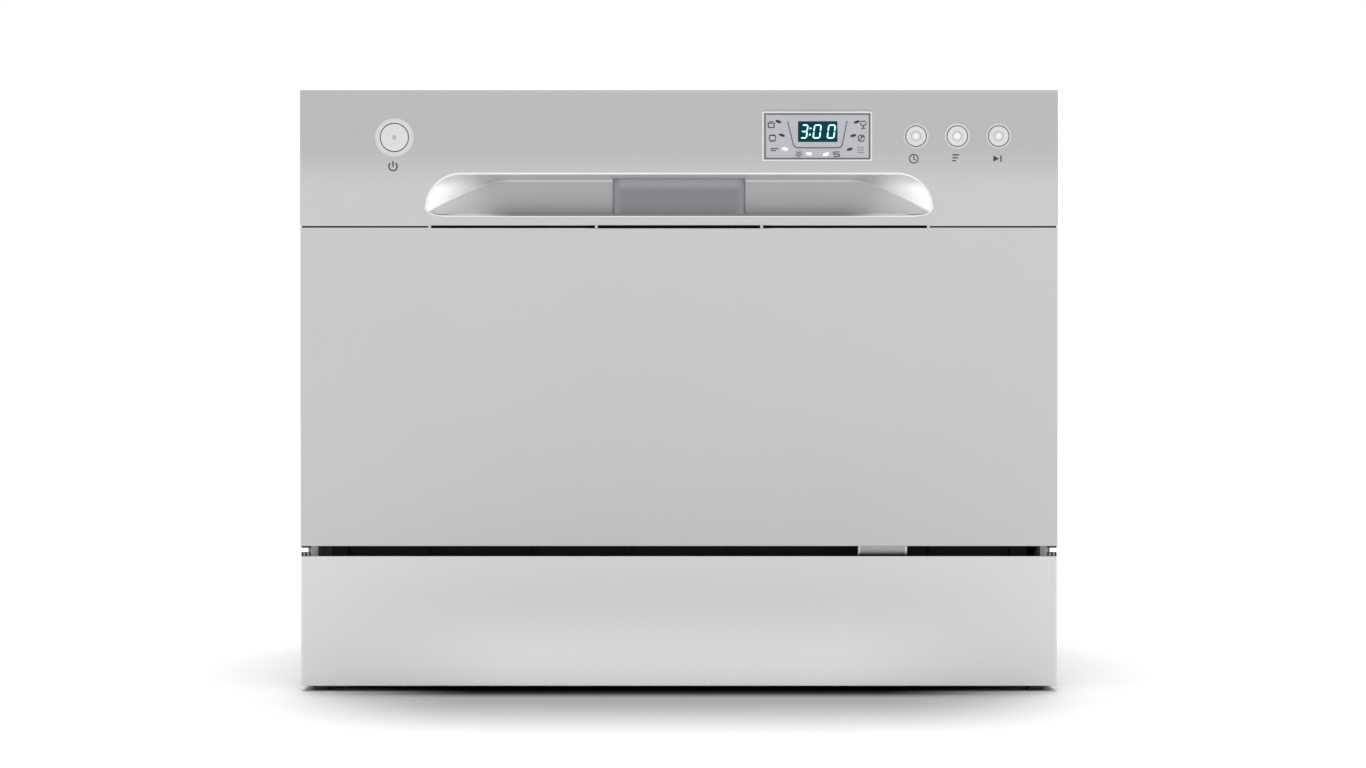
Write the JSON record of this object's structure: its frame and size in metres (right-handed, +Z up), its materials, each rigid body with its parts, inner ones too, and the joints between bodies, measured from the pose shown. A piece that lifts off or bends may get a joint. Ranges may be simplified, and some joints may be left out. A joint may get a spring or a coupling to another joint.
{
  "type": "countertop dishwasher",
  "caption": "Countertop dishwasher: steel box with a drop-down front door, hand recess, row of buttons, display, wire rack, spray arm and tub.",
  "frame": {"origin": "on the worktop, under the middle of the body's bounding box", "axes": "+X to the right seen from the front, -Y out of the door's face, +Z up"},
  "size_m": [0.55, 0.5, 0.438],
  "materials": {
    "white_steel": "smooth silver-white enamel with a fine satin grain",
    "galvanised_steel": "plain galvanised sheet",
    "black_plastic": "black moulded plastic, fine matt texture",
    "stainless_sheet": "brushed stainless sheet",
    "felt": "needled felt, dark",
    "seal_rubber": "soft extruded rubber",
    "sump_plastic": "dark grey moulded plastic",
    "motor_plastic": "grey glass-filled plastic",
    "heater_steel": "dull steel",
    "softener_plastic": "natural white plastic",
    "drain_plastic": "light grey plastic",
    "gland_plastic": "black plastic",
    "hardware_steel": "plated steel",
    "board_green": "circuit board",
    "foot_plastic": "black plastic",
    "fascia_plastic": "silver-grey moulded plastic with fine satin paint",
    "dispenser_plastic": "light grey plastic",
    "window_plastic": "gloss printed window",
    "display_glass": "dark display with lit digits",
    "button_plastic": "satin silver-grey plastic",
    "rim_plastic": "gloss light grey rims",
    "latch_plastic": "dark acetal",
    "paddle_plastic": "grey plastic",
    "cap_blue": "blue plastic",
    "arm_plastic": "grey plastic",
    "rack_coating": "coated wire",
    "rail_steel": "stainless rails",
    "clip_plastic": "grey clips",
    "roller_plastic": "white acetal",
    "basket_plastic": "grey plastic"
  },
  "bodies": {
    "cabinet": {"outer_casing": "white_steel", "rear_panel": "galvanised_steel", "base_tray": "black_plastic", "kick_panel": "white_steel", "tub": "stainless_sheet", "tub_insulation": "felt", "door_seal": "seal_rubber", "sump": "sump_plastic", "filter_plate": "stainless_sheet", "wash_pump": "motor_plastic", "drain_pump": "motor_plastic", "heater": "heater_steel", "water_softener": "softener_plastic", "air_breaker": "softener_plastic", "inlet_valve": "softener_plastic", "drain_outlet": "drain_plastic", "cable_gland": "gland_plastic", "feed_pipe": "sump_plastic", "spray_post": "sump_plastic", "door_striker": "hardware_steel", "hinge_brackets": "hardware_steel", "hinge_pins": "hardware_steel", "door_springs": "hardware_steel", "roller_axles": "hardware_steel", "casing_screws": "hardware_steel", "power_board": "board_green"},
    "door": {"door_panel": "white_steel", "fascia": "fascia_plastic", "door_liner": "stainless_sheet", "door_insulation": "felt", "hinge_arms": "hardware_steel", "dispenser_body": "dispenser_plastic", "display_window": "window_plastic", "display_module": "display_glass", "control_board": "board_green", "button_rims": "rim_plastic", "latch_housing": "latch_plastic", "door_screws": "hardware_steel"},
    "dispenser_lid": {"dispenser_lid": "dispenser_plastic"},
    "rinse_aid_cap": {"rinse_aid_cap": "cap_blue"},
    "power_button": {"power_button": "button_plastic"},
    "delay_button": {"delay_button": "button_plastic"},
    "program_button": {"program_button": "button_plastic"},
    "start_button": {"start_button": "button_plastic"},
    "latch_paddle": {"latch_paddle": "paddle_plastic"},
    "latch_hook": {"latch_hook": "latch_plastic"},
    "spray_arm": {"spray_arm": "arm_plastic"},
    "filter_cup": {"filter_cup": "sump_plastic"},
    "salt_cap": {"salt_cap": "cap_blue"},
    "rack": {"rack_basket": "rack_coating", "rack_rails": "rail_steel", "rail_clips": "clip_plastic"},
    "front_rollers": {"front_rollers": "roller_plastic"},
    "rear_rollers": {"rear_rollers": "roller_plastic"},
    "cutlery_basket": {"cutlery_basket": "basket_plastic"},
    "foot_front_left": {"foot_front_left": "foot_plastic"},
    "foot_front_right": {"foot_front_right": "foot_plastic"},
    "foot_rear_left": {"foot_rear_left": "foot_plastic"},
    "foot_rear_right": {"foot_rear_right": "foot_plastic"}
  },
  "joints": [
    {"name": "door_hinge", "type": "hinge", "parent": "cabinet", "child": "door", "pos_m": [0, -0.227, 0.1275], "axis": [1, 0, 0], "range_deg": [0, 90], "stiffness_Nm_per_rad": 3.2, "deforming": ["door_springs"]},
    {"name": "rack_slide", "type": "slide", "parent": "cabinet", "child": "rack", "axis": [0, -1, 0], "range_m": [0, 0.15]},
    {"name": "front_rollers_turn", "type": "hinge", "parent": "cabinet", "child": "front_rollers", "pos_m": [0, -0.18, 0.2396], "axis": [1, 0, 0], "range_deg": [0, 1200]},
    {"name": "rear_rollers_turn", "type": "hinge", "parent": "cabinet", "child": "rear_rollers", "pos_m": [0, -0.09, 0.2396], "axis": [1, 0, 0], "range_deg": [0, 1200]},
    {"name": "basket_lift", "type": "slide", "parent": "rack", "child": "cutlery_basket", "axis": [0, 0, 1], "range_m": [0, 0.1]},
    {"name": "dispenser_lid_hinge", "type": "hinge", "parent": "door", "child": "dispenser_lid", "pos_m": [-0.098, -0.2112, 0.283], "axis": [0, 0, 1], "range_deg": [0, 95]},
    {"name": "rinse_aid_cap_turn", "type": "hinge", "parent": "door", "child": "rinse_aid_cap", "pos_m": [-0.004, -0.212, 0.283], "axis": [0, 1, 0], "range_deg": [0, 90]},
    {"name": "power_button_push", "type": "slide", "parent": "door", "child": "power_button", "axis": [0, 1, 0], "range_m": [0, 0.002], "stiffness_N_per_m": 900},
    {"name": "delay_button_push", "type": "slide", "parent": "door", "child": "delay_button", "axis": [0, 1, 0], "range_m": [0, 0.002], "stiffness_N_per_m": 700},
    {"name": "program_button_push", "type": "slide", "parent": "door", "child": "program_button", "axis": [0, 1, 0], "range_m": [0, 0.002], "stiffness_N_per_m": 700},
    {"name": "start_button_push", "type": "slide", "parent": "door", "child": "start_button", "axis": [0, 1, 0], "range_m": [0, 0.002], "stiffness_N_per_m": 700},
    {"name": "latch_paddle_pull", "type": "hinge", "parent": "door", "child": "latch_paddle", "pos_m": [0, -0.213, 0.3857], "axis": [-1, 0, 0], "range_deg": [0, 8], "stiffness_Nm_per_rad": 1.2},
    {"name": "latch_hook_turn", "type": "hinge", "parent": "door", "child": "latch_hook", "pos_m": [0, -0.226, 0.416], "axis": [-1, 0, 0], "range_deg": [0, 24]},
    {"name": "spray_arm_spin", "type": "hinge", "parent": "cabinet", "child": "spray_arm", "pos_m": [0, 0, 0.148], "axis": [0, 0, 1], "continuous": true},
    {"name": "filter_cup_turn", "type": "hinge", "parent": "cabinet", "child": "filter_cup", "pos_m": [0.03, -0.018, 0.118], "axis": [0, 0, 1], "range_deg": [0, 90]},
    {"name": "salt_cap_turn", "type": "hinge", "parent": "cabinet", "child": "salt_cap", "pos_m": [-0.178, -0.13, 0.132], "axis": [0, 0, 1], "range_deg": [0, 90]},
    {"name": "foot_front_left_screw", "type": "slide", "parent": "cabinet", "child": "foot_front_left", "axis": [0, 0, -1], "range_m": [0, 0.012]},
    {"name": "foot_front_right_screw", "type": "slide", "parent": "cabinet", "child": "foot_front_right", "axis": [0, 0, -1], "range_m": [0, 0.012]},
    {"name": "foot_rear_left_screw", "type": "slide", "parent": "cabinet", "child": "foot_rear_left", "axis": [0, 0, -1], "range_m": [0, 0.012]},
    {"name": "foot_rear_right_screw", "type": "slide", "parent": "cabinet", "child": "foot_rear_right", "axis": [0, 0, -1], "range_m": [0, 0.012]}
  ],
  "couplings": [
    {"joint": "rack_slide", "follows": "door_hinge", "m_per_rad": 0.094},
    {"joint": "front_rollers_turn", "follows": "door_hinge", "ratio": 12.877},
    {"joint": "rear_rollers_turn", "follows": "door_hinge", "ratio": 12.877},
    {"joint": "latch_hook_turn", "follows": "latch_paddle_pull", "ratio": 3}
  ]
}
